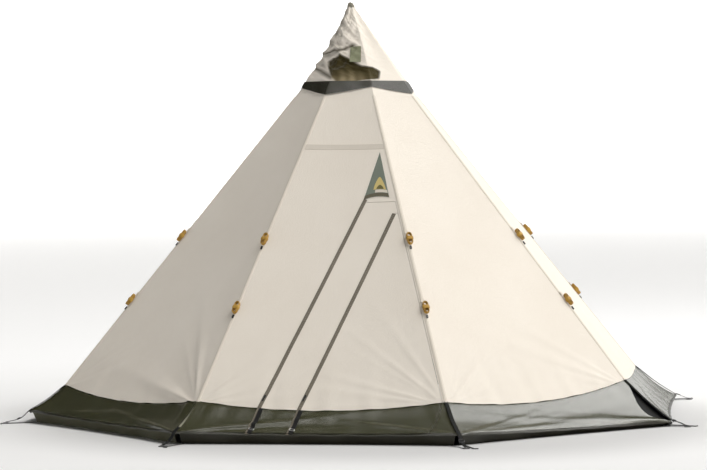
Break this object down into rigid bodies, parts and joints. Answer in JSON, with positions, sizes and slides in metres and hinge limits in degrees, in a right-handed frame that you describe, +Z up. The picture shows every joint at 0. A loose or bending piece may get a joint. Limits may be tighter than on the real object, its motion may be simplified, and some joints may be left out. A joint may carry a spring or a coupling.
{
  "type": "tipi tent",
  "caption": "Pyramid-shaped canvas tipi tent on a centre pole, with an olive skirt, a zipped door, a sliding vent cap and hanked guy lines.",
  "frame": {"origin": "on the ground under the centre pole", "axes": "+Z up the pole, -Y out of the entrance side"},
  "size_m": [4.47, 4.47, 2.7],
  "materials": {
    "canvas": "woven cotton mix, matt",
    "olive_cloth": "coated, matt",
    "dark_olive_cloth": "coated, matt",
    "flap_cloth": "coated, matt",
    "netting": "fine open net",
    "zip_tape": "woven tape with nylon coil",
    "zip_metal": "black enamel",
    "seam_webbing": "woven, matt",
    "black_webbing": "woven, slight sheen",
    "guy_line": "braided cord",
    "black_plastic": "moulded, satin",
    "steel": "zinc plated",
    "foot_rubber": "matt",
    "pole_aluminium": "anodised, satin"
  },
  "bodies": {
    "tent": {"canvas_front_left": "canvas", "canvas_front_right": "canvas", "canvas_left": "canvas", "canvas_rear": "canvas", "canvas_rear_left": "canvas", "canvas_rear_right": "canvas", "canvas_right": "canvas", "clamp_lever_pin": "steel", "corner_straps": "black_webbing", "crown_hub": "black_plastic", "crown_ring": "black_webbing", "crown_straps": "black_webbing", "door_head_patch": "olive_cloth", "door_hinge_border": "canvas", "entrance_corner_skirt": "olive_cloth", "entrance_crown_panel": "canvas", "entrance_head_panel": "canvas", "entrance_side_panel": "canvas", "entrance_side_skirt": "olive_cloth", "ground_flaps": "flap_cloth", "guy_line_hanks": "guy_line", "guy_out_tabs": "black_webbing", "left_zip_outer_tape": "zip_tape", "line_runners": "black_plastic", "peg_rings": "steel", "pegs": "steel", "pole_clamp_collar": "black_plastic", "pole_upper_tube": "pole_aluminium", "seam_webbing": "seam_webbing", "skirt_front_left": "olive_cloth", "skirt_front_right": "olive_cloth", "skirt_left": "olive_cloth", "skirt_rear": "olive_cloth", "skirt_rear_left": "olive_cloth", "skirt_rear_right": "olive_cloth", "skirt_right": "olive_cloth", "strap_buckles": "black_plastic"},
    "net_door": {"net_door_strip": "canvas", "net_door_skirt": "olive_cloth", "mosquito_net": "netting", "left_zip_inner_tape": "zip_tape", "right_zip_inner_tape": "zip_tape"},
    "door_leaf": {"door_leaf_canvas": "canvas", "door_leaf_skirt": "olive_cloth", "right_zip_outer_tape": "zip_tape"},
    "left_slider": {"left_zip_slider": "zip_metal", "left_zip_pull": "black_webbing"},
    "right_slider": {"right_zip_slider": "zip_metal", "right_zip_pull": "black_webbing"},
    "vent_cap": {"vent_cap_facets": "canvas", "vent_cap_hem_band": "dark_olive_cloth", "vent_cap_patch": "canvas", "vent_cap_tip_cup": "black_plastic", "vent_cap_rod": "pole_aluminium"},
    "lower_pole": {"pole_lower_tube": "pole_aluminium", "pole_foot": "foot_rubber"},
    "clamp_lever": {"pole_clamp_lever": "black_plastic"}
  },
  "joints": [
    {"name": "net_door_hinge", "type": "hinge", "parent": "tent", "child": "net_door", "pos_m": [0.54928, -1.37918, 0.8], "axis": [-0.2451, 0.5917, 0.768], "range_deg": [0, 45]},
    {"name": "door_leaf_hinge", "type": "hinge", "parent": "net_door", "child": "door_leaf", "pos_m": [0.54928, -1.37918, 0.8], "axis": [-0.2451, 0.5917, 0.768], "range_deg": [0, 65]},
    {"name": "left_zip_slide", "type": "slide", "parent": "net_door", "child": "left_slider", "axis": [0.3249, 0.5772, 0.7492], "range_m": [0, 1.519]},
    {"name": "right_zip_slide", "type": "slide", "parent": "door_leaf", "child": "right_slider", "axis": [0.3151, 0.5792, 0.7518], "range_m": [0, 1.418]},
    {"name": "vent_cap_lift", "type": "slide", "parent": "tent", "child": "vent_cap", "axis": [0, 0, 1], "range_m": [0, 0.12]},
    {"name": "pole_telescope", "type": "slide", "parent": "tent", "child": "lower_pole", "axis": [0, 0, 1], "range_m": [0, 0.25]},
    {"name": "clamp_lever_hinge", "type": "hinge", "parent": "tent", "child": "clamp_lever", "pos_m": [0.031, 0, 1.2], "axis": [0, 0, -1], "range_deg": [0, 90]}
  ]
}
